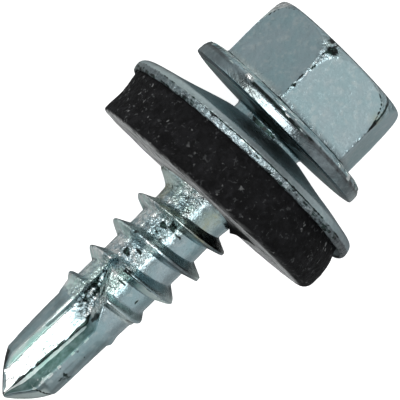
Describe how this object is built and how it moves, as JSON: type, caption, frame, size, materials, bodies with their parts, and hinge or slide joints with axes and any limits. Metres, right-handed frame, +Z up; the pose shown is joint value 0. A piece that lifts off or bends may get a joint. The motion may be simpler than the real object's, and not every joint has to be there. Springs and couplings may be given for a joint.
{
  "type": "self drilling screw",
  "caption": "Self drilling screw with hexagon washer head, coarse tapping thread, fluted drill point and a loose domed sealing washer with a thick rubber ring.",
  "frame": {"origin": "centre of the footprint on the ground the screw lies on", "axes": "+X runs along the screw from the head towards the raised point, +Z up, +Y completes the right-hand frame"},
  "size_m": [0.024, 0.0144, 0.0139],
  "materials": {
    "zinc_steel": "zinc plated, satin, blue-green tint, slightly rough",
    "washer_steel": "zinc plated sheet, satin",
    "black_rubber": "matt black rubber with fine grain and dust specks"
  },
  "bodies": {
    "screw_body": {"screw": "zinc_steel"},
    "sealing_washer": {"washer_plate": "washer_steel", "rubber_gasket": "black_rubber"}
  },
  "joints": [
    {"name": "washer_spin", "type": "hinge", "parent": "screw_body", "child": "sealing_washer", "pos_m": [-0.00585, -0.00003, 0.00558], "axis": [0.9272, 0, 0.3746], "continuous": true}
  ]
}
